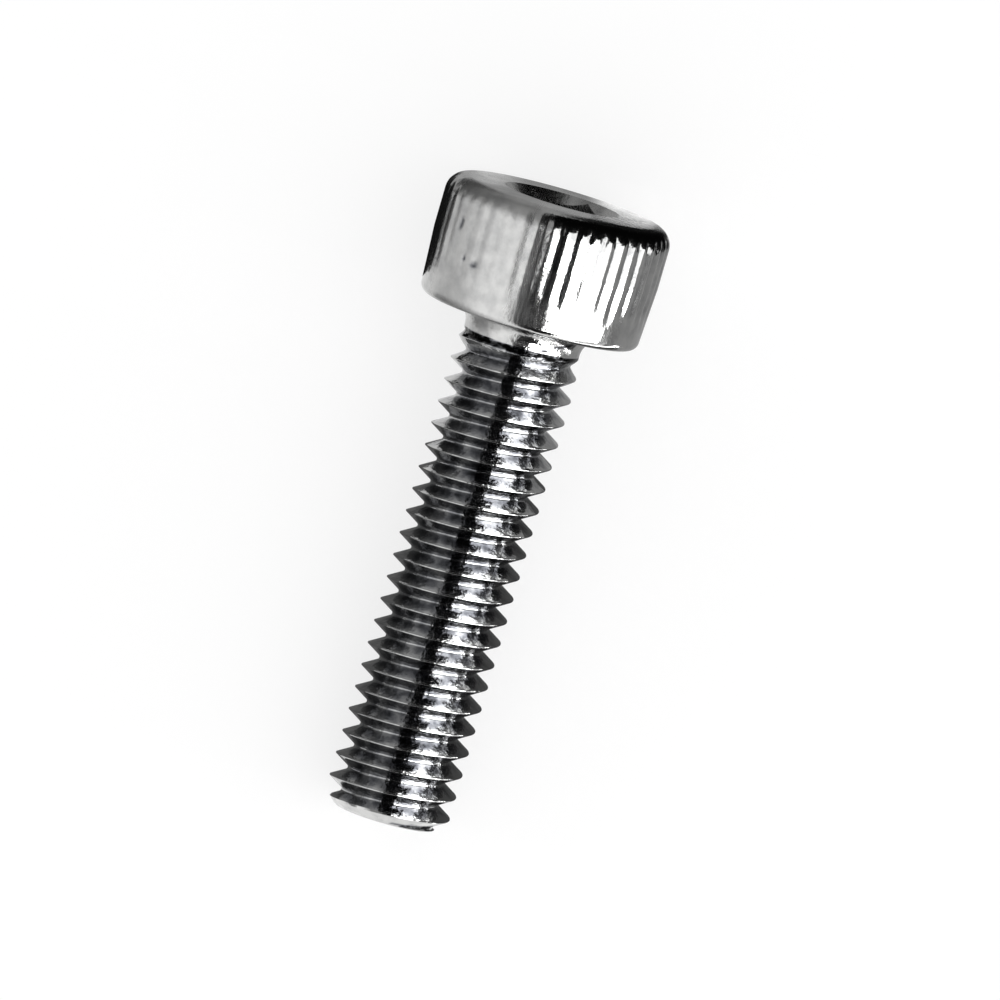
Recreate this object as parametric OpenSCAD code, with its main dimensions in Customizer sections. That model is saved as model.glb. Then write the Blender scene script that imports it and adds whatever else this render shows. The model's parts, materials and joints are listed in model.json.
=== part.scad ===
// Hexagon socket head cap screw with a knurled head, threaded close up to the head.
// It is modelled upright, with the bearing face under the head at z = 0 and the tip below,
// and is then laid on its side as it comes to rest: on two ridges of the knurl and one thread crest.

/* [Thread] */
// Diameter over the crests of the thread
thread_d = 3.9; // [3.4:0.1:4.6]
// Distance from one crest to the next
thread_pitch = 0.7; // [0.6:0.05:0.9]
// Distance from the tip to the first crest, on the side that the screw lies on
first_crest = 0.63; // [0.5:0.01:0.9]
// Length over which the thread fades into the neck
runout_l = 1.1; // [0.7:0.1:2]

/* [Shank] */
// Length from the bearing face to the tip
shank_l = 15.8; // [10:0.1:20]
// Length of the plain neck under the head
neck_l = 0.65; // [0.65:0.05:1.5]
// Radius of the fillet between neck and head
fillet_r = 0.6; // [0.1:0.05:0.6]
// Diameter of the flat end of the tip
tip_d = 3.15; // [2.4:0.05:3.4]

/* [Head] */
// Diameter over the ridges of the knurl
head_d = 7.06; // [6.4:0.02:8]
// Height of the head
head_h = 3.82; // [3.4:0.02:5]
// Radius of the rounded edge round the top
top_edge_r = 0.6; // [0.3:0.05:0.8]
// Radius of the rounded edge round the bearing face
bearing_edge_r = 0.28; // [0.24:0.02:0.5]

/* [Knurl] */
// Number of ridges round the head
knurl_count = 47; // [36:1:60]
// Height of the ridges above the plain band under them
knurl_rise = 0.1; // [0.1:0.01:0.14]
// Depth of the grooves between the ridges
knurl_depth = 0.11; // [0.08:0.01:0.2]
// Height of the plain band between the knurl and the bearing face
band_h = 0.8; // [0.7:0.05:0.85]
// Length over which the ridges rise from the plain band
knurl_lead = 0.35; // [0.2:0.05:0.4]

/* [Socket] */
// Width of the hexagon across its flats
socket_af = 3; // [2.5:0.1:3.5]
// Turn of the hexagon against the knurl, in degrees
socket_turn = 33; // [0:1:60]
// Depth of the hexagon from the top of the head
socket_l = 2.1; // [1.5:0.1:2.4]
// Height of the cone at the bottom of the socket
socket_cone_h = 0.4; // [0.2:0.05:0.6]
// How far the bevel round the mouth of the socket reaches past the corners
socket_bevel = 0.08; // [0.04:0.01:0.15]

/* [Hidden] */
$fn = 96;
steel = "silver";

// Thread profile: 60 degrees between the flanks, with a narrow flat on the crest and in the root
flank_angle = 30;
crest_flat = thread_pitch / 10;
root_flat = thread_pitch / 8;
flank_l = (thread_pitch - crest_flat - root_flat) / 2;
thread_depth = flank_l / tan(flank_angle);
crest_r = thread_d / 2;
root_r = crest_r - thread_depth;
// Start of each stretch of the profile along one pitch, and its height as a share of the depth
profile_at = [0, root_flat, root_flat + flank_l, root_flat + flank_l + crest_flat];
profile_up = [0, 0, 1, 1];
// The neck shows the plain wire that the thread was rolled on, thinner than the crests
neck_r = crest_r - thread_pitch / 5;
tip_r = tip_d / 2;
tip_angle = 45;

// Flat steps round one turn of the thread, and points of its profile along one pitch
turn_steps = 44;
profile_n = len(profile_at);
fillet_steps = 6;
// The shank reaches this far into the head, so that the two are one solid
embed_l = 0.4;

// Head outline
head_r = head_d / 2;
band_r = head_r - knurl_rise;
knurl_step = 360 / knurl_count;
valley_r = head_r - knurl_depth;
ridge_flat = 0.1; // share of the knurl's pitch that is flat on top of a ridge
clear = 1; // how far a cutting shape reaches past the surface that it cuts
hexagon = 6;

// Resting place: the line under the screw touches two ridges of the knurl and one thread crest
ridge_at = band_h + knurl_lead;
ridge_drop = head_r * cos(knurl_step / 2 * (1 - ridge_flat));
crest_at = shank_l - first_crest + crest_flat / 2;
rest_tilt = atan((ridge_drop - crest_r) / (ridge_at + crest_at));
axis_up = crest_at * sin(rest_tilt) + crest_r * cos(rest_tilt);
// Ends of the resting screw along the surface that it lies on, from the bearing face
head_end = (head_h - top_edge_r) * cos(rest_tilt) + (head_r - top_edge_r) * sin(rest_tilt) + top_edge_r;
tip_end = shank_l * cos(rest_tilt) + tip_r * sin(rest_tilt);

// How much of its depth the thread has at a distance from the bearing face
function fade(x) = x <= neck_l ? 0 : x >= neck_l + runout_l ? 1 : sin(90 * (x - neck_l) / runout_l);

// Radius of the thread where its full profile has a given height, cut by the bevel of the tip
function thread_radius(x, up) =
    min(neck_r + fade(x) * (root_r + up * thread_depth - neck_r),
        tip_r + (shank_l - x) * tan(tip_angle));

function on_circle(r, angle, z) = [r * cos(angle), r * sin(angle), z];

// Height of profile point k in column c above the tip: one turn rises by one pitch
crest_mid = profile_at[2] + crest_flat / 2;
first_root = first_crest - crest_mid;
thread_start = first_root - ceil(first_root / thread_pitch + 1) * thread_pitch;
function rise(c, k) =
    thread_start + thread_pitch * (c / turn_steps + floor(k / profile_n)) + profile_at[k % profile_n];
thread_top = shank_l - neck_l;
column_n = profile_n * ceil((thread_top - thread_start) / thread_pitch + 1);

// The shank's points: first the helical columns, then plain rings from the tip to inside the head
helix_points = [
    for (c = [0 : turn_steps - 1], k = [0 : column_n - 1])
        let (x = shank_l - rise(c, k))
            on_circle(thread_radius(x, profile_up[k % profile_n]), 360 * c / turn_steps, -x)
];
fillet_rings = [
    for (i = [0 : fillet_steps])
        let (turn = 90 * i / fillet_steps)
            [neck_r + fillet_r * (1 - cos(turn)), -fillet_r * (1 - sin(turn))]
];
rings = concat([[tip_r, -shank_l], [neck_r, -neck_l]], fillet_rings, [[neck_r + fillet_r, embed_l]]);
ring_points = [
    for (ring = rings, c = [0 : turn_steps - 1])
        on_circle(ring[0], 360 * c / turn_steps, ring[1])
];
helix_n = len(helix_points);
function ring_index(ring, c) = helix_n + ring * turn_steps + c % turn_steps;

// Column number turn_steps is column 0 again, one pitch higher. Points past an end fall on its ring.
function point_index(c, k) =
    c == turn_steps ? point_index(0, k + profile_n)
    : rise(c, k) <= 0 ? ring_index(0, c)
    : rise(c, k) >= thread_top ? ring_index(1, c)
    : c * column_n + k;

// The triangles of a four-cornered face, without those that an end has closed up
function triangles(a, b, c, d) = [
    for (t = [[a, b, c], [a, c, d]])
        if (t[0] != t[1] && t[1] != t[2] && t[2] != t[0]) t
];

helix_faces = [
    for (c = [0 : turn_steps - 1], k = [0 : column_n - 2])
        each triangles(point_index(c, k), point_index(c, k + 1),
                       point_index(c + 1, k + 1), point_index(c + 1, k))
];
ring_faces = [
    for (ring = [1 : len(rings) - 2], c = [0 : turn_steps - 1])
        each triangles(ring_index(ring, c), ring_index(ring + 1, c),
                       ring_index(ring + 1, c + 1), ring_index(ring, c + 1))
];
end_faces = [
    [for (c = [0 : turn_steps - 1]) ring_index(0, c)],
    [for (c = [turn_steps - 1 : -1 : 0]) ring_index(len(rings) - 1, c)]
];

// Threaded shank with its bevelled tip, plain neck and fillet
module shank() {
    polyhedron(points = concat(helix_points, ring_points),
               faces = concat(helix_faces, ring_faces, end_faces));
}

// What a rounded edge of radius r takes off an outer corner at the origin
module corner_waste(r) {
    difference() {
        translate([-r, -r]) square(r + clear);
        translate([-r, -r]) circle(r);
    }
}

// Half section of the head before it is knurled
module head_section() {
    difference() {
        polygon([
            [0, 0], [band_r, 0], [band_r, band_h],
            [head_r, ridge_at], [head_r, head_h], [0, head_h]
        ]);
        translate([head_r, head_h]) corner_waste(top_edge_r);
        translate([band_r, 0]) rotate(-90) corner_waste(bearing_edge_r);
    }
}

// One groove of the knurl, from the plain band up past the top edge
module knurl_groove() {
    groove_half = head_r * sin(knurl_step / 2) * (1 - ridge_flat);
    widen = groove_half / knurl_depth;
    translate([0, 0, band_h])
        linear_extrude(head_h)
            polygon([
                [valley_r, 0],
                [head_r + knurl_depth, 2 * knurl_depth * widen],
                [head_r + knurl_depth, -2 * knurl_depth * widen]
            ]);
}

// Hexagon socket with a bevelled mouth and a cone at the bottom
module socket() {
    corner_r = socket_af / 2 / cos(180 / hexagon);
    translate([0, 0, head_h - socket_l])
        rotate(socket_turn)
            cylinder(r = corner_r, h = socket_l + clear, $fn = hexagon);
    translate([0, 0, head_h - socket_l - socket_cone_h])
        cylinder(r1 = 0, r2 = socket_af / 2, h = socket_cone_h);
    mouth_r = corner_r + socket_bevel;
    inner_r = socket_af / 2 - socket_bevel;
    translate([0, 0, head_h - (mouth_r - inner_r)])
        cylinder(r1 = inner_r, r2 = mouth_r + clear, h = mouth_r - inner_r + clear);
}

module head() {
    difference() {
        rotate_extrude() head_section();
        for (i = [0 : knurl_count - 1])
            rotate(i * knurl_step) knurl_groove();
        socket();
    }
}

// Lays the upright screw on its side, with the middle of its length over the origin
module at_rest() {
    translate([(tip_end - head_end) / 2, 0, axis_up])
        rotate([0, 90 - rest_tilt, 0])
            children();
}

module cap_screw() {
    color(steel)
        at_rest() {
            head();
            shank();
        }
}

cap_screw();
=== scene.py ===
# %% [markdown]
# # A knurled cap screw on a white table
# The real object is one piece of stainless steel. A press heads it from wire, a punch leaves the
# hexagon, a die rolls the knurl and two flat dies roll the thread. The solid from the frame has all
# of these forms, but its thread is made of flat facets, and bright metal shows every facet. So this
# lesson builds the same screw again as one fine mesh, with the roundings that rolling leaves, and
# then gives it a steel finish and the light of a small product studio.

# %% Load the frame
import json
import math

import bpy
from mathutils import Matrix, Vector


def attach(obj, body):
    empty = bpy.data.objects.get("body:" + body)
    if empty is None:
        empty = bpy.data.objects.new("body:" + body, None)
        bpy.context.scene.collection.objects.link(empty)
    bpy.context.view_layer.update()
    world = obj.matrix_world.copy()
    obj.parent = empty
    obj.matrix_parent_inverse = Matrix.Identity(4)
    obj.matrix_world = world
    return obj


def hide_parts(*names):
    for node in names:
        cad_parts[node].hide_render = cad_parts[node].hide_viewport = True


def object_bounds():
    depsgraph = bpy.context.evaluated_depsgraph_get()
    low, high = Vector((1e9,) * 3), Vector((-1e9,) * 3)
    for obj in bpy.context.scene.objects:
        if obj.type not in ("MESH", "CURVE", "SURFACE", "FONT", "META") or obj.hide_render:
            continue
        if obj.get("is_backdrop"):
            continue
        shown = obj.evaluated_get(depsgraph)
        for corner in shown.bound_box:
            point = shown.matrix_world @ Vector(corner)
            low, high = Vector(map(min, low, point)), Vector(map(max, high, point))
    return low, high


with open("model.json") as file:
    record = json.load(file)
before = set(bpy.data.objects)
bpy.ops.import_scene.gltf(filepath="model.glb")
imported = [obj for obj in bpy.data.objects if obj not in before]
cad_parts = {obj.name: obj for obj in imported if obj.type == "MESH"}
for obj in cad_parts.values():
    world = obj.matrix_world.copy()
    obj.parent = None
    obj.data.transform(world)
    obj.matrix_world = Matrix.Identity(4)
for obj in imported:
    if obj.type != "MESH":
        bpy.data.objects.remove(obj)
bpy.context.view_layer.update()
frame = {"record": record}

# %% [markdown]
# ## Where the screw lies
# The screw is easiest to make upright, with the bearing face under the head at z = 0. The record
# already says where the finished screw lies: its socket mount gives the middle of the mouth and the
# direction of the axis. Three directions at right angles then make the matrix that lays the mesh
# down, so no position is typed in twice.

# %% Place of the screw
MM = 0.001
head_h = 3.82 * MM

mounts = {mount["name"]: mount for mount in frame["record"]["mounts"]}
to_head = Vector(mounts["hex_socket"]["axis"]).normalized()
bearing_centre = Vector(mounts["hex_socket"]["pos_m"]) - head_h * to_head
to_left = Vector((0, 1, 0))
to_floor = to_left.cross(to_head)
lay_down = Matrix((to_floor, to_left, to_head)).transposed().to_4x4()
lay_down.translation = bearing_centre
print("the axis rises", round(math.degrees(math.asin(to_head.z)), 2), "degrees towards the head")

# %% [markdown]
# ## The thread
# Rolling dies press a 60 degree groove into the wire, and the metal that they push out becomes the
# crest. The tips of the dies are rounded, and so are the crests, which never quite fill the die. A
# Screw modifier could sweep one tooth along a helix, but it could not fade the thread out under the
# head or cut it at the bevelled tip. Here each point is worked out instead: its height follows the
# helix, and its radius is the profile's, faded near the neck and held inside the cone of the tip.

# %% Sizes of the thread
thread_pitch = 0.7 * MM
crest_r = 1.95 * MM
flank_angle = math.radians(30)
crest_flat = thread_pitch / 10
root_flat = thread_pitch / 8
thread_depth = (thread_pitch - crest_flat - root_flat) / 2 / math.tan(flank_angle)
root_r = crest_r - thread_depth
first_crest = 0.63 * MM
print("thread:", round(2 * crest_r / MM, 2), "mm wide and", round(thread_depth / MM, 2), "mm deep")

# %% Profile of the thread
crest_round = 0.03 * MM
root_round = root_flat / 2 / math.tan(flank_angle)
# A rounding turns by this many degrees to each side, almost up to the slope of the flank.
round_turn = 58
round_points = 6
flank_shares = (1 / 4, 2 / 4, 3 / 4)


def arc(count, start, end):
    """A number of evenly spaced angles between two given in degrees, turned to radians."""
    return [math.radians(start + (end - start) * i / (count - 1)) for i in range(count)]


def between(start, end, share):
    """The point that lies a share of the way from one point to another."""
    return tuple(p + (q - p) * share for p, q in zip(start, end))


def thread_profile():
    """One pitch of the thread from a crest to the next: pairs of height and radius."""
    turns = arc(round_points, -round_turn, round_turn)
    crest = [(crest_round * math.sin(a), crest_r - crest_round * (1 - math.cos(a))) for a in turns]
    root = [(thread_pitch / 2 + root_round * math.sin(a), root_r + root_round * (1 - math.cos(a)))
            for a in turns]
    next_crest = (crest[0][0] + thread_pitch, crest[0][1])
    path = []
    for run, after in ((crest, root[0]), (root, next_crest)):
        path += run
        path += [between(run[-1], after, share) for share in flank_shares]
    return path


profile = thread_profile()
print("thread profile:", len(profile), "points to a pitch")

# %% [markdown]
# ## Points, faces and the painted shade in the grooves
# One list holds the points of the whole screw. Beside each point goes how dark its colour is painted: 0
# where the steel is bright, about 0.6 in a groove of the thread and more than 1 at the bottom of the
# socket. In the grooves, the socket and the corner under the lip this is painted shade. On the marks of
# the dies and on the dents it is their darker colour. The material is darker where the value is high.

# %% Lists and small helpers
points, faces, shade_and_stain = [], [], []
turn_steps = 94
socket_turn = math.radians(33)


def add_point(radius, angle, z, darkness=0.0):
    """Adds a point in cylinder coordinates and returns its number."""
    points.append((radius * math.cos(angle), radius * math.sin(angle), z))
    shade_and_stain.append(darkness)
    return len(points) - 1


def step_angle(step, steps):
    """Angle of a column; column 0 passes through a corner of the hexagon."""
    return socket_turn + math.tau * step / steps


def add_ring(radius, z):
    """Adds one plain round of points about the shank's axis."""
    return [add_point(radius, step_angle(step, turn_steps), z) for step in range(turn_steps)]


def join_rings(lower, upper):
    """Fills the band between two rings that have the same number of points."""
    for i in range(len(lower)):
        j = (i + 1) % len(lower)
        faces.append((lower[i], lower[j], upper[j], upper[i]))


print("shank:", turn_steps, "columns to a turn")

# %% [markdown]
# ## Where the thread begins
# The edge of the dies leaves a ragged lip round the neck: above it is plain wire, below it the thread
# is already half deep. A sum of three waves round the screw gives the lip its uneven edge, the same
# on every run. The corner under the lip's edge is painted black as shade. A few slanting marks where
# the dies ran off the wire are dark stains.

# %% Lip and run-out
shank_l = 15.8 * MM
neck_l = 0.65 * MM
neck_r = crest_r - thread_pitch / 5
tip_r = 1.575 * MM
lip_at = 0.66 * MM
lip_rag = 0.03 * MM
lip_l = 0.2 * MM
lip_share = 0.5
# Each wave of the lip has a number of bumps round the screw and a phase.
lip_waves = [(19, 0), (31, 2), (43, 4)]
runout_l = 1.0 * MM


def ease(x):
    """Goes from 0 to 1 with soft ends."""
    x = min(max(x, 0), 1)
    return (1 - math.cos(math.pi * x)) / 2


def past_lip(angle, below):
    """How far a place below the bearing face is past the upper edge of the ragged lip."""
    waves = sum(math.sin(bumps * angle + phase) for bumps, phase in lip_waves)
    return below - lip_at - lip_rag / 2 * waves


def thread_shown(angle, below):
    """How much of its depth the thread has at a distance below the bearing face."""
    past = past_lip(angle, below)
    return lip_share * ease(past / lip_l) + (1 - lip_share) * ease((past - lip_l) / runout_l)


def thread_radius(angle, height, radius):
    """The profile's radius, faded into the plain neck and cut by the cone of the tip."""
    shown = thread_shown(angle, shank_l - height)
    return min(neck_r + shown * (radius - neck_r), tip_r + height)


print("half of the thread's depth shows", round((lip_at + lip_l) / MM, 2), "mm under the head")

# %% Painted shade of the thread
tip_edge_r = 0.03 * MM
# Painted shade: the flanks of the thread are painted darker than its crests and roots.
groove_shade = 0.6
crest_shade = 0.2
root_less_shade = 0.4
root_from = 0.85


def thread_shade(angle, height, radius):
    """Painted shade of the thread: light on crests and roots, dark between, black in the corner under the
    lip, none on the bevel.
    """
    if radius > tip_r + height - tip_edge_r:
        return 0.0
    depth = min(max((crest_r - radius) / thread_depth, 0), 1)
    on_flank = crest_shade + (1 - crest_shade) * min(1.25 * depth, 1) ** 1.3
    off_root = root_less_shade * ease((depth - root_from) / (1 - root_from))
    from_corner = past_lip(angle, shank_l - height) / lip_l - 0.5
    return max(groove_shade * (on_flank - off_root), math.exp(-(1.6 * from_corner) ** 4))


print("film at mid flank:", round(thread_shade(0, shank_l / 2, (crest_r + root_r) / 2), 2))

# %% [markdown]
# ## Winding the thread
# The shank is a grid of columns. A column runs along the screw at one angle, and the next one starts a
# little higher, so that after a full turn the first column comes again, one pitch up. That makes a
# true helix without a seam. Points that would lie past the tip or in the neck are swapped for a point
# of a plain ring there, and faces that close up by that are left out.

# %% Columns of the thread
thread_start = first_crest - math.ceil(first_crest / thread_pitch + 2) * thread_pitch
thread_top = shank_l - neck_l
column_n = len(profile) * math.ceil((thread_top - thread_start) / thread_pitch + 1)
tip_face = add_ring(tip_r - tip_edge_r, -shank_l)
tip_ring = add_ring(tip_r, -shank_l + tip_edge_r)
neck_ring = add_ring(neck_r, -neck_l)

columns = []
for step in range(turn_steps):
    angle = step_angle(step, turn_steps)
    column = []
    for k in range(column_n):
        climb, full_radius = profile[k % len(profile)]
        height = thread_start + thread_pitch * (angle / math.tau + k // len(profile)) + climb
        if height <= tip_edge_r:
            column.append(tip_ring[step])
        elif height >= thread_top:
            column.append(neck_ring[step])
        else:
            radius = thread_radius(angle, height, full_radius)
            column.append(add_point(radius, angle, height - shank_l, thread_shade(angle, height, radius)))
    columns.append(column)
columns.append(columns[0][len(profile):] + [neck_ring[0]] * len(profile))
print("thread:", len(points), "points")

# %% Faces of the thread
for left, right in zip(columns, columns[1:]):
    for k in range(column_n - 1):
        corners = list(dict.fromkeys((left[k], right[k], right[k + 1], left[k + 1])))
        if len(corners) > 2:
            faces.append(tuple(corners))
faces.append(tuple(reversed(tip_face)))
join_rings(tip_face, tip_ring)
print("thread and tip:", len(faces), "faces")

# %% [markdown]
# ## The neck
# Under the head the wire stays plain, and a fillet spreads it into the head, where a sharp corner
# would crack. Rings along a quarter of a circle make it. The marks of the dies are stains more than
# shape, so they go in with the painted shade as darker colour.

# %% Neck and fillet
fillet_r = 0.6 * MM
fillet_rows = 22
# Each mark runs from one angle and height to another, in degrees and millimetres.
die_marks = [(209, -0.46, 234, -0.22), (198, -0.62, 222, -0.47)]
mark_w = 0.06 * MM


def mark_film(angle, z):
    """Film of the slanting marks on the neck, which fade out at both ends."""
    film_here = 0.0
    for angle_a, z_a, angle_b, z_b in die_marks:
        share = (math.degrees(angle) % 360 - angle_a) / (angle_b - angle_a)
        off = (z - (z_a + (z_b - z_a) * share) * MM) / mark_w
        film_here = max(film_here, math.exp(-off ** 2 - (2.2 * share - 1.1) ** 4))
    return film_here


fillet_ring = neck_ring
for a in arc(fillet_rows, 0, 90):
    radius = neck_r + fillet_r * (1 - math.cos(a))
    z = -fillet_r * (1 - math.sin(a))
    ring = []
    for step in range(turn_steps):
        angle = step_angle(step, turn_steps)
        ring.append(add_point(radius, angle, z, mark_film(angle, z)))
    join_rings(fillet_ring, ring)
    fillet_ring = ring
print("shank with neck:", len(points), "points")

# %% [markdown]
# ## The head
# The head is round except for two things: the ridges of the knurl outside and the hexagon inside.
# A Boolean could cut both, but it leaves long thin triangles that spoil the shading. A polar grid
# does it cleanly: every row of the grid is one round of points, and its radius may change with the
# angle. Twelve columns to a ridge put points on every slope of the knurl, and because the columns
# also divide by six, the corners of the hexagon fall on columns too.

# %% Sizes of the head
# The solid's roundings are made of flat steps, so the mesh stays a hair inside it.
skin = 0.001 * MM
head_r = 3.53 * MM - skin
head_top = head_h - skin
top_edge_r = 0.6 * MM
bearing_edge_r = 0.28 * MM
knurl_count = 47
knurl_rise = 0.1 * MM
knurl_depth = 0.05 * MM
knurl_from = 0.6 * MM
knurl_to = 1.5 * MM
taper_from = 0.3 * MM
taper_to = 2 * MM
head_steps = 12 * knurl_count


def groove_share(angle):
    """1 in the bottom of a groove of the knurl, 0 on top of a ridge, with both rounded."""
    from_ridge = 1 - abs((angle * knurl_count / math.tau + 0.5) % 1 - 0.5) * 2
    return (from_ridge + ease(from_ridge)) / 2


print("ridges:", round(math.tau * head_r / knurl_count / MM, 2), "mm from one to the next")

# %% [markdown]
# ## Wear on the head
# One side of the head has been rubbed: its ridges hardly show, its shine is satin, and it has three
# small dents. A sculpting brush could make them, but a formula gives the same wear on every run. Each
# kind of wear is a share that is 1 in its middle and falls off smoothly to 0.

# %% Rubbed side
# Angles round the head in degrees: the middle of the rubbed side and its half widths.
worn_at = 142
worn_half = 48
satin_half = 31
# The share of the ridges' height that is lost in the middle of the rubbed side.
worn_most = 0.68


def rubbed(angle, half_width):
    """1 in the middle of the rubbed side, falling off to 0 round the head; the half width is in degrees."""
    off = (math.degrees(angle) % 360 - worn_at) / half_width
    return math.exp(-off ** 4)


print("rubbed side:", 2 * worn_half, "degrees wide")

# %% Dents in the side
# Each dent has its angle in degrees, its height, its half width and its half height.
dents = [(129, 2.54 * MM, 0.08 * MM, 0.16 * MM),
         (137, 1.55 * MM, 0.07 * MM, 0.08 * MM),
         (144, 1.48 * MM, 0.14 * MM, 0.09 * MM)]
dent_depth = 0.04 * MM
# The dents are also darker in colour.
dent_dark = 0.8


def dent_share(angle, z):
    """1 in the middle of a dent, falling off to 0 round it."""
    share = 0.0
    for at_angle, at_z, half_width, half_height in dents:
        across = head_r * (angle % math.tau - math.radians(at_angle)) / half_width
        along = (z - at_z) / half_height
        share = max(share, math.exp(-across ** 2 - along ** 2))
    return share


print("dents:", len(dents))

# %% [markdown]
# ## The side of the head
# Upwards from the bearing face come a rounded edge, a band that widens gently as the knurl fades in,
# the knurl itself and the large rounding round the top. Near the top the grooves lean inwards before
# the ridges do, each a little differently, as the knurling die ran out there. It is a small slope, but
# bright metal turns it into a ragged edge between light and dark.

# %% Outline of the head
knurl_high = head_top - top_edge_r
groove_drop = 0.42 * MM
groove_end_l = 0.35 * MM
groove_fade_l = 0.9 * top_edge_r


def turned_radius(z):
    """Radius of the head before it is knurled."""
    taper = knurl_rise * (1 - min(max((z - taper_from) / (taper_to - taper_from), 0), 1))
    edge_low = max(bearing_edge_r - z, 0)
    edge_high = min(max(z - knurl_high, 0), top_edge_r)
    return (head_r - taper
            - bearing_edge_r + math.sqrt(bearing_edge_r ** 2 - edge_low ** 2)
            - top_edge_r + math.sqrt(top_edge_r ** 2 - edge_high ** 2))


def rounded_off(z, drop):
    """What the top rounding takes off the radius where it begins lower by a drop."""
    into_edge = max(z - knurl_high, 0)
    if into_edge < groove_end_l:
        into_edge = max(z - knurl_high + drop, 0) * groove_end_l / (groove_end_l + drop)
    return head_r - turned_radius(knurl_high + into_edge)


def groove_end_drop(angle):
    """How much lower the rounding begins in the groove at an angle: from half to all of groove_drop."""
    groove_number = math.floor(angle * knurl_count / math.tau)
    return groove_drop * (0.75 + 0.25 * math.sin(2.6 * groove_number))


print("knurl:", round((knurl_high - knurl_to) / MM, 2), "mm at full depth")

# %% Rows of the side
# Painted shade: the grooves of the knurl are painted a little darker.
knurl_groove_shade = 0.15
drop_from = knurl_high - groove_drop
low_edge_rows = 9
knurl_rows = 28
groove_end_rows = 9
top_edge_rows = 18


def side_point(angle, z):
    """Radius, height and darkness of the head's side: the outline with grooves and dents pressed in, the
    grooves painted a little darker as shade and the dents darker in colour.
    """
    knurl = groove_share(angle) * (1 - worn_most * rubbed(angle, worn_half))
    groove = knurl * ease((z - knurl_from) / (knurl_to - knurl_from))
    groove *= 1 - ease((z - knurl_high) / groove_fade_l)
    dent = dent_share(angle, z)
    radius = turned_radius(min(z, knurl_high)) - rounded_off(z, knurl * groove_end_drop(angle))
    radius -= knurl_depth * groove + dent_depth * dent
    return radius, z, max(knurl_groove_shade * groove, dent_dark * dent)


def steps_between(low, high, count):
    """Evenly spaced values from low up to, but without, high."""
    return [low + (high - low) * i / count for i in range(count)]


def add_row(place):
    """Adds one round of points of the head; place gives radius, height and darkness at an angle."""
    row = []
    for step in range(head_steps):
        angle = step_angle(step, head_steps)
        radius, z, darkness = place(angle)
        row.append(add_point(radius, angle, z, darkness))
    return row


side_heights = [bearing_edge_r * (1 + math.sin(a)) for a in arc(low_edge_rows, -90, 0)][:-1]
side_heights += steps_between(bearing_edge_r, drop_from, knurl_rows)
side_heights += steps_between(drop_from, knurl_high, groove_end_rows)
side_heights += [knurl_high + top_edge_r * math.sin(a) for a in arc(top_edge_rows, 0, 90)]
rows = [add_row(lambda angle: side_point(angle, z)) for z in side_heights]
print("side of the head:", len(rows), "rows of", head_steps, "points")

# %% [markdown]
# ## The socket
# A punch presses the hexagon into the top and leaves a shallow cone at the bottom, and a bevel
# clears its mouth. The same polar grid goes on inwards: across the flat top, down the bevel, where
# the circle turns into the hexagon, down the six walls and to the middle of the cone. The socket is
# painted dark as shade, most of all at the bottom, and one wall that keys have rubbed starts less dark.

# %% Shape of the socket
socket_af = 3.0 * MM
socket_l = 2.1 * MM
socket_cone_h = 0.4 * MM
socket_bevel = 0.08 * MM
hexagon = 6
mouth_r = socket_af / 2 / math.cos(math.pi / hexagon) + socket_bevel
flat_r = head_r - top_edge_r
floor_z = head_h - socket_l
# The cone starts just clear of the flats of the hexagon, so that no face closes up.
cone_r = 0.98 * socket_af / 2
rubbed_wall = 4
# Painted shade: the socket's walls are painted darker further down and the cone at its bottom nearly black;
# the rubbed wall starts less dark.
rubbed_wall_shade = 0.1
wall_shade = 0.25
wall_shade_rise = 0.5
cone_shade = 1.4


def hexagon_radius(angle):
    """Radius of the hexagon, with its corners at socket_turn."""
    from_flat = (angle - socket_turn) % (math.tau / hexagon) - math.pi / hexagon
    return socket_af / 2 / math.cos(from_flat)


def bevel_place(angle, share):
    """A point on the bevel, from the round mouth down to the hexagon."""
    inwards = (hexagon_radius(angle) - mouth_r) * share
    return mouth_r + inwards, head_top + inwards, 0.0


def wall_place(angle, share):
    """A point on a wall of the socket, a share of the way down."""
    edge_z = bevel_place(angle, 1)[1]
    wall = int((angle - socket_turn) % math.tau / (math.tau / hexagon))
    top_shade = rubbed_wall_shade if wall == rubbed_wall else wall_shade
    return hexagon_radius(angle), edge_z + (floor_z - edge_z) * share, top_shade + wall_shade_rise * share


print("socket:", round(2 * mouth_r / MM, 2), "mm across its mouth")

# %% Top and socket
for share in (0.25, 0.5, 0.75, 1):
    rows.append(add_row(lambda angle: (flat_r + (mouth_r - flat_r) * share, head_top, 0.0)))
for share in (0.25, 0.5, 0.75, 1):
    rows.append(add_row(lambda angle: bevel_place(angle, share)))
for share in (0.2, 0.4, 0.6, 0.8, 1):
    rows.append(add_row(lambda angle: wall_place(angle, share)))
for share in (1, 0.7, 0.4):
    rows.append(add_row(lambda angle: (cone_r * share, floor_z - socket_cone_h * (1 - share), cone_shade)))
for lower, upper in zip(rows, rows[1:]):
    join_rings(lower, upper)
cone_tip = add_point(0, 0, floor_z - socket_cone_h, cone_shade)
for i in range(head_steps):
    faces.append((rows[-1][i], rows[-1][(i + 1) % head_steps], cone_tip))
print("whole head:", len(rows), "rows")

# %% [markdown]
# ## The bearing face
# The flat ring under the head is what presses on the work. It joins the fine columns of the head to
# the coarser ones of the shank. Blender's bridge tool could fill it, but fans of triangles between the
# two known rings are just as short to write, and all of them face away from the head.

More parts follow.
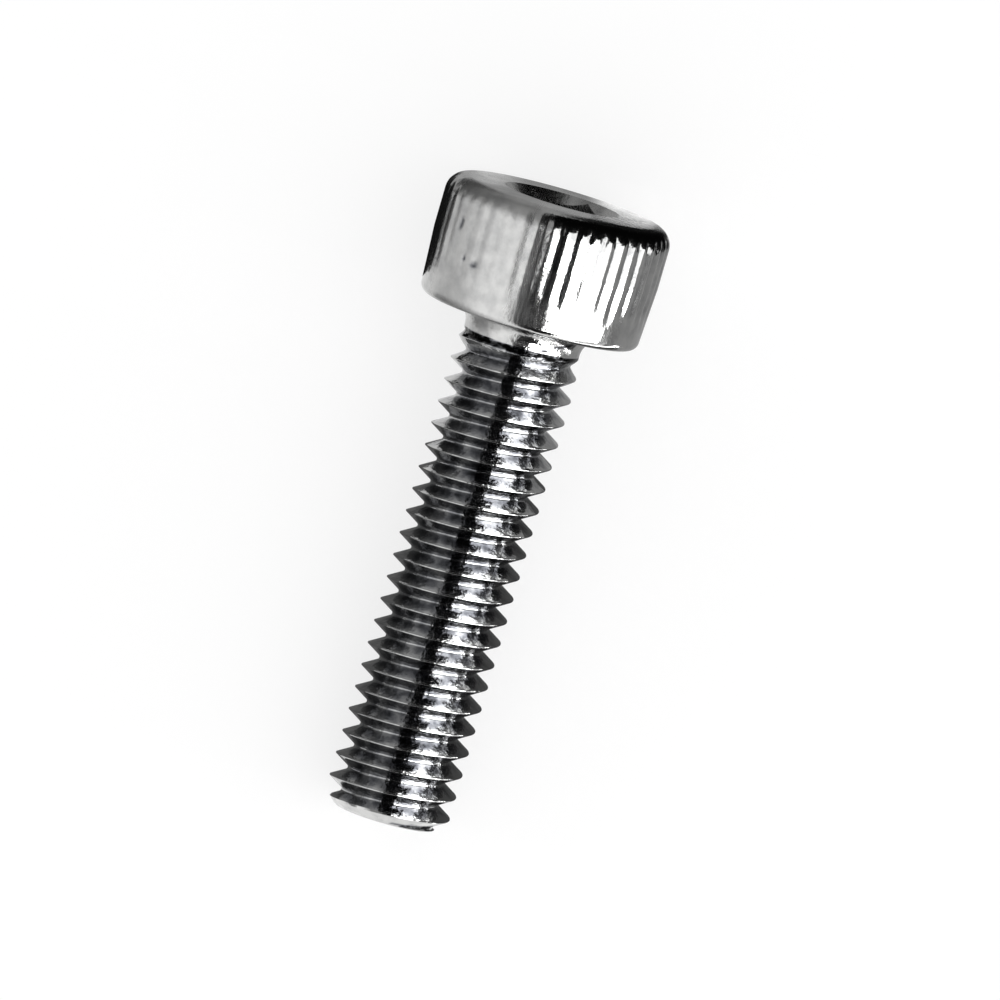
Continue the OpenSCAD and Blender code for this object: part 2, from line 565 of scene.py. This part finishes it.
# %% Bearing face
ratio = head_steps // turn_steps
rim = rows[0]
for i in range(turn_steps):
    near, far = fillet_ring[i], fillet_ring[(i + 1) % turn_steps]
    middle = i * ratio + ratio // 2
    for fine in range(i * ratio, (i + 1) * ratio):
        hub = near if fine < middle else far
        faces.append((hub, rim[(fine + 1) % head_steps], rim[fine]))
    faces.append((near, far, rim[middle]))
print("bearing face:", ratio, "columns of the head to one of the shank")

# %% [markdown]
# ## One mesh
# All points and faces become one mesh, as the screw is one piece. Each point carries three values for
# the material: its painted shade and stains, its place on the upright screw, which the patterns follow,
# and how satin it is. The rubbed side, the top and the socket are satin, and the rest is bright. Smooth
# shading that stops at sharp edges keeps the edges of the socket and the tip crisp.

# %% How satin the screw is
socket_satin = 0.6
top_satin = 0.55
# The rim of the mouth still belongs to the top, so the socket begins just inside it.
socket_from_r = 0.99 * mouth_r


def satin_share(x, y, z):
    """How satin a point is; the top turns satin over the last quarter of its rounding."""
    if z < -lip_at:
        return 0.0
    if z > 0 and math.hypot(x, y) < socket_from_r:
        return socket_satin
    on_top = ease(4 * (z - knurl_high) / top_edge_r - 3)
    return max(rubbed(math.atan2(y, x), satin_half), top_satin * on_top)


satin = [satin_share(*point) for point in points]
print("satin points:", sum(share > 0.5 for share in satin))

# %% Mesh of the screw
sharp_from = math.radians(32)
mesh = bpy.data.meshes.new("knurled_cap_screw")
mesh.from_pydata([lay_down @ Vector(point) for point in points], [], faces)
film_layer = mesh.attributes.new("shade_and_stain", "FLOAT", "POINT")
film_layer.data.foreach_set("value", shade_and_stain)
upright_layer = mesh.attributes.new("upright", "FLOAT_VECTOR", "POINT")
upright_layer.data.foreach_set("vector", [value for point in points for value in point])
satin_layer = mesh.attributes.new("satin", "FLOAT", "POINT")
satin_layer.data.foreach_set("value", satin)
for polygon in mesh.polygons:
    polygon.use_smooth = True
mesh.set_sharp_from_angle(angle=sharp_from)
screw = bpy.data.objects.new("knurled_cap_screw", mesh)
bpy.context.scene.collection.objects.link(screw)
mesh.calc_loop_triangles()
print("screw:", len(mesh.loop_triangles), "triangles")

# %% [markdown]
# ## Stainless steel
# Rolled and headed stainless steel is a grey mirror. Its look is mostly what it reflects, so the base
# colour is a plain grey, metallic is 1 and the roughness is low. What tells the eye that it was made by
# dies is the fine streaking: along the axis on the knurled side, and round the axis on the thread.
# One noise pattern, stretched in two ways, gives both, and the height along the screw chooses between
# them. The streaks are about 0.05 mm wide. Real ones are finer, but they would not show here.

# %% Colours and nodes


def linear(hex_colour):
    """Turns an sRGB hex value such as C8C4BE into a linear colour with alpha 1."""
    channels = [int(hex_colour[i:i + 2], 16) / 255 for i in (0, 2, 4)]
    return [c / 12.92 if c <= 0.04045 else ((c + 0.055) / 1.055) ** 2.4 for c in channels] + [1]


def add_node(tree, kind, settings=None, values=None, links=None):
    """Adds a node, sets its properties and input values, and links other nodes' outputs to its inputs."""
    node = tree.nodes.new(kind)
    for name, value in (settings or {}).items():
        setattr(node, name, value)
    for name, value in (values or {}).items():
        node.inputs[name].default_value = value
    for name, output in (links or {}).items():
        tree.links.new(output, node.inputs[name])
    return node


print("a mid grey in linear light:", round(linear("808080")[0], 3))

# %% Patterns of the steel
steel = bpy.data.materials.new("rolled_stainless_steel")
steel.use_nodes = True
tree = steel.node_tree
shader = tree.nodes["Principled BSDF"]
shader.inputs["Metallic"].default_value = 1
streak_w = 0.05 * MM
streak_l = 1.2 * MM
mottle_w = 0.45 * MM

place = add_node(tree, "ShaderNodeAttribute", {"attribute_name": "upright"}).outputs["Vector"]
along_axis = add_node(tree, "ShaderNodeMapping", links={"Vector": place},
                      values={"Scale": (1 / streak_w, 1 / streak_w, 1 / streak_l)})
round_axis = add_node(tree, "ShaderNodeMapping", links={"Vector": place},
                      values={"Scale": (1 / streak_l, 1 / streak_l, 1 / streak_w)})
head_streaks = add_node(tree, "ShaderNodeTexNoise", values={"Scale": 1, "Detail": 3},
                        links={"Vector": along_axis.outputs[0]})
thread_streaks = add_node(tree, "ShaderNodeTexNoise", values={"Scale": 1, "Detail": 3},
                          links={"Vector": round_axis.outputs[0]})
along_screw = add_node(tree, "ShaderNodeSeparateXYZ", links={"Vector": place}).outputs["Z"]
on_head = add_node(tree, "ShaderNodeMath", {"operation": "GREATER_THAN"}, {1: 0}, {0: along_screw})
streaks = add_node(tree, "ShaderNodeMix", links={
    "Factor": on_head.outputs[0], "A": thread_streaks.outputs["Fac"], "B": head_streaks.outputs["Fac"]})
mottle = add_node(tree, "ShaderNodeTexNoise", values={"Scale": 1 / mottle_w, "Detail": 4},
                  links={"Vector": place})
print("streaks", round(streak_w / MM, 2), "mm wide, mottling", round(mottle_w / MM, 2), "mm")

# %% [markdown]
# ## Painted shade, satin and waviness
# Three things break the mirror. The painted shade and the stains darken the colour in patches, the
# satin places are rougher, and the dies leave shallow waves that bend what the steel reflects. The forms
# themselves are in the mesh, so bump only carries the waves and the streaks, which are too fine for
# points. The waves are calmer on the head, which was not rolled between flat dies.

# %% Colour of the steel
shade_and_stain_share = add_node(tree, "ShaderNodeAttribute", {"attribute_name": "shade_and_stain"}).outputs["Fac"]
patches = add_node(tree, "ShaderNodeMapRange", links={"Value": mottle.outputs["Fac"]},
                   values={"From Min": 0.3, "From Max": 0.7, "To Min": 0.65, "To Max": 1.35})
patchy_shade_and_stain = add_node(tree, "ShaderNodeMath", {"operation": "MULTIPLY"},
                       links={0: shade_and_stain_share, 1: patches.outputs["Result"]})
clouds = add_node(tree, "ShaderNodeMapRange", links={"Value": mottle.outputs["Fac"]},
                  values={"From Min": 0.4, "From Max": 0.75, "To Min": 0, "To Max": 0.22})
all_shade_and_stain = add_node(tree, "ShaderNodeMath", {"operation": "ADD"},
                    links={0: patchy_shade_and_stain.outputs[0], 1: clouds.outputs["Result"]})
colour = add_node(tree, "ShaderNodeValToRGB", links={"Fac": all_shade_and_stain.outputs[0]})
# The ramp goes from bright steel through the grey of the painted shade in the grooves to near black for the
# deepest painted shade, in the socket and under the lip, and for the darkest marks.
colour.color_ramp.elements[0].color = linear("BDBDBC")
colour.color_ramp.elements[1].color = linear("090909")
shaded_steel = colour.color_ramp.elements.new(groove_shade)
shaded_steel.color = linear("6E6F72")
tree.links.new(colour.outputs["Color"], shader.inputs["Base Color"])
print("colour ramp:", len(colour.color_ramp.elements), "stops")

# %% Gloss of the steel
mirror_rough = 0.02
streak_rough = 0.08
mottle_rough = 0.1
satin_rough = 0.28
gloss = add_node(tree, "ShaderNodeMapRange", links={"Value": streaks.outputs["Result"]}, values={
    "From Min": 0.3, "From Max": 0.7, "To Min": mirror_rough, "To Max": streak_rough})
mottled_gloss = add_node(tree, "ShaderNodeMath", {"operation": "MULTIPLY_ADD"}, {1: mottle_rough},
                         {0: mottle.outputs["Fac"], 2: gloss.outputs["Result"]})
satin_here = add_node(tree, "ShaderNodeAttribute", {"attribute_name": "satin"}).outputs["Fac"]
roughness = add_node(tree, "ShaderNodeMath", {"operation": "MULTIPLY_ADD"}, {1: satin_rough},
                     {0: satin_here, 2: mottled_gloss.outputs[0]})
tree.links.new(roughness.outputs[0], shader.inputs["Roughness"])
print("roughness at most", round(streak_rough + mottle_rough + satin_rough, 2))

# %% Relief of the steel
wave_w = 0.16 * MM
wave_h = 0.03 * MM
streak_h = 0.006 * MM
waves = add_node(tree, "ShaderNodeTexNoise", values={"Scale": 1 / wave_w, "Detail": 2},
                 links={"Vector": place})
calmer = add_node(tree, "ShaderNodeMapRange", links={"Value": on_head.outputs[0]},
                  values={"To Min": 0.5, "To Max": 0.2})
waviness = add_node(tree, "ShaderNodeBump", values={"Distance": wave_h},
                    links={"Height": waves.outputs["Fac"], "Strength": calmer.outputs["Result"]})
relief = add_node(tree, "ShaderNodeBump", values={"Strength": 0.25, "Distance": streak_h},
                  links={"Height": streaks.outputs["Result"], "Normal": waviness.outputs["Normal"]})
tree.links.new(relief.outputs["Normal"], shader.inputs["Normal"])
mesh.materials.append(steel)
print("steel:", len(tree.nodes), "nodes")

# %% [markdown]
# ## Into the frame
# The solid from the frame stays in the model for collisions, but the mesh now stands for it. The screw
# has no joints, so it rides on the one body that there is.

# %% Bodies
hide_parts("cap_screw")
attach(screw, "root")
print(screw.name, "stands for the solid cap_screw")

# %% [markdown]
# ## The camera
# The photograph looks almost straight down on the lying screw: the top of the head shows as a thin
# ellipse, because the axis rises by several degrees. The camera's three directions are built from the
# screw's axis, the height of that ellipse and the slant of the screw in the picture. A long lens far
# away keeps both ends of the screw at one scale.

# %% Directions of the camera
seen_from_top = math.radians(7)
slant = math.radians(16.15)

look_height = math.asin(to_head.z) + math.pi / 2 - seen_from_top
towards_camera = Vector((math.cos(look_height), 0, math.sin(look_height)))
along_picture = (to_head - math.sin(seen_from_top) * towards_camera).normalized()
across_picture = along_picture.cross(towards_camera)
camera_up = math.cos(slant) * along_picture - math.sin(slant) * across_picture
camera_right = math.sin(slant) * along_picture + math.cos(slant) * across_picture
print("the camera looks down from", round(math.degrees(math.asin(towards_camera.z)), 1), "degrees")

# %% Camera
photo_size = 1000
# The size of a pixel on the screw, and the pixel where the middle of the bearing face lies.
photo_scale = 0.0303 * MM
bearing_pixel = (527.7, 320.1)
distance = 900 * MM

right_of_bearing = (photo_size / 2 - bearing_pixel[0]) * photo_scale
above_bearing = (bearing_pixel[1] - photo_size / 2) * photo_scale
picture_middle = bearing_centre + right_of_bearing * camera_right + above_bearing * camera_up

camera = bpy.data.objects.new("camera", bpy.data.cameras.new("camera"))
bpy.context.scene.collection.objects.link(camera)
camera.data.sensor_width = 36
camera.data.lens = camera.data.sensor_width * distance / (photo_size * photo_scale)
camera.data.clip_start = 0.01
camera.data.clip_end = 10
turned = Matrix((camera_right, camera_up, towards_camera)).transposed().to_4x4()
turned.translation = picture_middle + distance * towards_camera
camera.matrix_world = turned
bpy.context.scene.camera = camera
print("lens:", round(camera.data.lens), "mm")

# %% [markdown]
# ## Surroundings and table
# The table and the surroundings are white, as in a light tent. The surroundings have a strength of 1,
# which is plain white, and light the table evenly. A matt laminate shows the eye nothing but its colour
# and the shadow. Where the camera or a reflection sees the table, most of its white is light of its
# own, which keeps it as pale as a real tent does, and the rest is lit, which keeps the shadow.

# %% White surroundings
scene = bpy.context.scene
scene.view_settings.view_transform = "Standard"
world = bpy.data.worlds.new("light_tent")
scene.world = world
world.use_nodes = True
background = world.node_tree.nodes["Background"]
background.inputs["Color"].default_value = linear("FFFFFF")
background.inputs["Strength"].default_value = 1
print("surroundings:", world.name)

# %% White laminate
own_light = 0.7
table_white = bpy.data.materials.new("white_table_laminate")
table_white.use_nodes = True
table_tree = table_white.node_tree
table_shader = table_tree.nodes["Principled BSDF"]
table_shader.inputs["Base Color"].default_value = linear("F7F7F7")
table_shader.inputs["Roughness"].default_value = 0.9
ray = add_node(table_tree, "ShaderNodeLightPath")
mirrored = add_node(table_tree, "ShaderNodeMath", {"operation": "MAXIMUM"},
                    links={0: ray.outputs["Is Glossy Ray"], 1: ray.outputs["Is Transmission Ray"]})
seen = add_node(table_tree, "ShaderNodeMath", {"operation": "MAXIMUM"},
                links={0: ray.outputs["Is Camera Ray"], 1: mirrored.outputs[0]})
self_lit = add_node(table_tree, "ShaderNodeMath", {"operation": "MULTIPLY"}, {1: own_light},
                    {0: seen.outputs[0]})
plain_white = add_node(table_tree, "ShaderNodeEmission", values={"Strength": 1})
mixed = add_node(table_tree, "ShaderNodeMixShader", links={
    0: self_lit.outputs[0], 1: table_shader.outputs[0], 2: plain_white.outputs[0]})
table_tree.links.new(mixed.outputs[0], table_tree.nodes["Material Output"].inputs["Surface"])
print("laminate:", len(table_tree.nodes), "nodes")

# %% Table
table_half = 600 * MM


def add_sheet(name, corners, material):
    """Adds a flat four-cornered stage piece."""
    flat = bpy.data.meshes.new(name)
    flat.from_pydata(corners, [], [(0, 1, 2, 3)])
    flat.materials.append(material)
    sheet = bpy.data.objects.new(name, flat)
    scene.collection.objects.link(sheet)
    sheet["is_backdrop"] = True
    return sheet


table_corners = [(-table_half, -table_half, 0), (table_half, -table_half, 0),
                 (table_half, table_half, 0), (-table_half, table_half, 0)]
table = add_sheet("table", table_corners, table_white)
print(table.name, "is", round(2 * table_half, 2), "m wide")

# %% [markdown]
# ## A soft shadow
# One large round lamp above the screw, a little to the right, adds a soft shadow to the even light. A
# sun lamp would make it hard. Reflections do not see the lamp, because cards will give the steel its
# lights. Places round the screw are given by two angles: round its axis, from the camera to the right,
# and along its axis, towards the head.

# %% Lamp over the table
lamp_away = 400 * MM


def towards(round_axis_deg, along_axis_deg):
    """Direction from the screw, by the angle round its axis and the angle towards its head."""
    turn, rise = math.radians(round_axis_deg), math.radians(along_axis_deg)
    across = math.cos(turn) * -to_floor + math.sin(turn) * -to_left
    return math.cos(rise) * across + math.sin(rise) * to_head


lamp = bpy.data.lights.new("table_lamp", "AREA")
lamp.shape = "DISK"
lamp.size = 300 * MM
lamp.energy = 0.12
lamp_stand = bpy.data.objects.new("table_lamp", lamp)
scene.collection.objects.link(lamp_stand)
lamp_place = lamp_away * towards(35, 0)
facing = lamp_place.to_track_quat("Z", "Y").to_matrix().to_4x4()
lamp_stand.matrix_world = Matrix.Translation(lamp_place) @ facing
lamp_stand.visible_camera = False
lamp_stand.visible_glossy = False
print("lamp:", round(lamp_place.z, 2), "m over the table")

# %% [markdown]
# ## What the steel reflects
# Bright metal is a picture of its surroundings, so a studio builds that picture with lamps and cards.
# Only reflections see the cards here, and they light nothing else. Far cards fill windows of angles as
# seen from the screw. A bright one on the right is the soft box. Black ones are the gap that the lens
# looks through, a flag at the tip and a hood over the head. White and grey ones on the left stand for
# the pale wall of the tent.

# %% Making a card
cards = []


def card_material(name, brightness):
    """A surface that shows one even brightness from every side."""
    material = bpy.data.materials.new(name)
    material.use_nodes = True
    tree = material.node_tree
    tree.nodes.clear()
    glow = add_node(tree, "ShaderNodeEmission", values={"Strength": brightness})
    add_node(tree, "ShaderNodeOutputMaterial", links={"Surface": glow.outputs["Emission"]})
    return material


def add_card(name, corners, material):
    """Adds a stage piece that only reflections see."""
    card = add_sheet(name, corners, material)
    card.visible_camera = False
    card.visible_diffuse = False
    card.visible_transmission = False
    card.visible_shadow = False
    cards.append(card)


def add_angle_card(name, round_axis_deg, along_axis_deg, away, material):
    """Adds a card that fills a window of angles, as seen from the middle of the screw."""
    (low, high), (tip_end, head_end) = round_axis_deg, along_axis_deg
    window = ((low, tip_end), (high, tip_end), (high, head_end), (low, head_end))
    add_card(name, [away * towards(*angles) for angles in window], material)


card_away = 150 * MM
# Black cards hang a little nearer, in front of the bright ones.
flag_away = 0.98 * card_away
print("far cards:", round(card_away / MM), "mm from the screw")

# %% Cards round the screw
black = card_material("black_card", 0.002)
bright = card_material("soft_box_front", 16)
add_angle_card("soft_box", (8, 80), (-28, 5), card_away, bright)
add_angle_card("soft_box_foot", (46, 68), (-62, -28), card_away, bright)
add_angle_card("lens_gap", (-16, 13), (-70, 40), flag_away, black)
add_angle_card("tip_flag", (6, 44), (-75, -29), flag_away, black)
add_angle_card("head_hood", (8, 95), (5, 75), flag_away, black)
add_angle_card("left_box", (-66, -15), (-75, 4), card_away, card_material("white_card", 1.5))
# Towards the head, the left wall gets darker in three steps, and half as bright next to the lens gap.
for name, low, high, brightness in (("low", 4, 12, 1.08), ("mid", 12, 22, 0.78), ("high", 22, 50, 0.54)):
    add_angle_card("left_hood_" + name, (-85, -28), (low, high), card_away,
                   card_material("left_hood_card_" + name, brightness))
    add_angle_card("left_hood_inner_" + name, (-28, -15), (low, high), card_away,
                   card_material("left_hood_inner_card_" + name, brightness / 2))
add_angle_card("right_horizon", (80, 93), (-60, 10), card_away, card_material("right_grey_card", 0.4))
print("cards so far:", len(cards))

# %% [markdown]
# ## Cards close to the screw
# The flanks of the thread and the sides of the head also see the table right beside the screw. Strips
# of card along the screw give them their greys: dark ones next to it, a narrow bright one on the right
# that glints in the thread, a low wall on the left, and a small soft box over the right of the head.

# %% Strips along the screw
# Cards on the table lie this far above it, so that the two do not mix.
card_lift = Vector((0, 0, 0.02 * MM))


def add_strip_card(name, x_range, start, end, brightness):
    """Adds a card along the screw, from one pair of y and z in millimetres to another."""
    corners = [(x_range[0], *start), (x_range[1], *start), (x_range[1], *end), (x_range[0], *end)]
    lifted = [Vector(corner) * MM + card_lift for corner in corners]
    add_card(name, lifted, card_material(name + "_card", brightness))


beside_thread = (-9.5, 2.5)
add_strip_card("thread_gap", (-60, 2), (8, 28), (-9, 28), 0.01)
# Painted shadow: this dark card beside the screw on its left stands for the screw's shadow on the table,
# which only reflections see.
add_strip_card("left_shade", beside_thread, (0.8, 0), (20, 0), 0.15)
add_strip_card("left_wall_foot", (-40, 2.5), (20, 0), (20, 4.4), 0.3)
add_strip_card("left_wall", (-40, 2.5), (20, 4.4), (20, 11.6), 0.55)
add_strip_card("right_shade", beside_thread, (-0.8, 0), (-11, 0), 0.1)
add_strip_card("right_strip", (-19, 2.5), (-11, 0), (-14.5, 0), 9)
add_strip_card("right_far", beside_thread, (-14.5, 0), (-120, 0), 0.3)
add_strip_card("tip_sheet", (-60, -11), (11, 0), (-11, 0), 1.3)
add_strip_card("head_box", (2.6, 12), (-6.5, 28), (-28, 28), 2.2)
add_strip_card("head_box_foot", (2.6, 12), (-28, 28), (-28, 8.5), 2.2)
# Painted shadow: this black card beside the head on its left stands for the head's shadow on the table,
# which only reflections see.
add_strip_card("head_shade_left", (6.2, 10), (0.8, 0), (12, 0), 0.01)
add_strip_card("head_shade_right", (2.5, 10), (-0.8, 0), (-120, 0), 0.4)
print("cards so far:", len(cards))

# %% [markdown]
# ## Cards at the head end
# The top of the head is seen at a glancing angle, so it mirrors the table just beyond it. Several cards
# side by side would show as steps there, so one card has a ramp of greys across it instead: dark
# at both ends and light between, with a dim middle. Further out, greys on the table and a wall of
# sectors give the rounding of the head its pale left half and its black right half.

# %% Ramp of greys beyond the head
toe_half = 4 * MM
# Places from right to left across the card, as shares of its ramp, each with its grey.
toe_greys = [(0.02, 0.03), (0.1, 0.35), (0.18, 1), (0.29, 0.9), (0.425, 0.2), (0.62, 0.2),
             (0.8, 0.5), (0.9, 0.3), (0.975, 0.02)]
toe = card_material("head_toe_card", 1.7)
toe_tree = toe.node_tree
toe_place = add_node(toe_tree, "ShaderNodeNewGeometry").outputs["Position"]
toe_across = add_node(toe_tree, "ShaderNodeSeparateXYZ", links={"Vector": toe_place}).outputs["Y"]
toe_share = add_node(toe_tree, "ShaderNodeMapRange", links={"Value": toe_across},
                     values={"From Min": -toe_half, "From Max": toe_half})
toe_ramp = add_node(toe_tree, "ShaderNodeValToRGB", links={"Fac": toe_share.outputs["Result"]})
toe_ramp.color_ramp.interpolation = "EASE"
stops = toe_ramp.color_ramp.elements
stops.remove(stops[1])
stops[0].position = toe_greys[0][0]
for position, grey in toe_greys[1:]:
    stops.new(position)
for stop, (position, grey) in zip(stops, toe_greys):
    stop.color = (grey, grey, grey, 1)
toe_tree.links.new(toe_ramp.outputs["Color"], toe_tree.nodes["Emission"].inputs["Color"])
toe_corners = [(9.9, -120, 0), (10.7, -120, 0), (10.7, 120, 0), (9.9, 120, 0)]
add_card("head_toe", [Vector(corner) * MM + card_lift for corner in toe_corners], toe)
print("ramp of the card:", len(stops), "stops")

# %% Cards on the table beyond the head
# Each card has its name, its range along the table, its two sides across it and its brightness.
foot_cards = [("left_toe", (10.7, 12), 3.2, 120, 0.5), ("middle", (10.7, 45), -1, 3.2, 0.42),
              ("left_edge", (12, 18), 3.2, 120, 0.05),
              ("left", (18, 45), 3.2, 8, 0.42), ("left_far", (18, 45), 8, 120, 0.25),
              ("right", (10.7, 45), -120, -4, 0.002), ("right_near", (10.7, 28), -4, -1, 0.002),
              ("right_middle", (28, 45), -4, -1, 0.25)]
for name, x_range, near_y, far_y, brightness in foot_cards:
    add_strip_card("head_foot_" + name, x_range, (near_y, 0), (far_y, 0), brightness)
print("cards so far:", len(cards))

# %% Wall beyond the head
wall_x = 45
wall_from, wall_to = 0.5, 160
# Each sector of the wall has its two angles, from the top to the right, and its brightness.
wall_sectors = [(-90, -78, 0.1), (-78, -65, 0.2), (-65, -45, 0.36), (-45, -16, 0.42),
                (-16, 40, 0.002), (40, 90, 0.002)]


def add_sector_card(name, low, high, brightness):
    """Adds a card across the axis beyond the head, between two angles round the axis."""
    corners = []
    for away, angle in ((wall_from, low), (wall_to, low), (wall_to, high), (wall_from, high)):
        turn = math.radians(angle)
        corners.append(Vector((wall_x, -away * math.sin(turn), away * math.cos(turn))) * MM)
    add_card(name, corners, card_material(name + "_card", brightness))


low_wall = [(44.8, 6, 0), (44.8, -2, 0), (44.8, -2, 5), (44.8, 6, 5)]
low_wall_grey = card_material("low_wall_card", 0.45)
add_card("head_wall_low", [Vector(corner) * MM for corner in low_wall], low_wall_grey)
for low, high, brightness in wall_sectors:
    add_sector_card("head_wall_%d" % (low + 90), low, high, brightness)
print("all cards:", len(cards))

# %% [markdown]
# ## Size of the result
# The box of the visual model, which stands for the solid, is printed in millimetres. The visual
# model has to stay inside the box of the solid that it stands for.

# %% Box of the screw
bpy.context.view_layer.update()
low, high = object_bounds()
print("visual box in mm:", [round(1000 * (b - a), 2) for a, b in zip(low, high)])
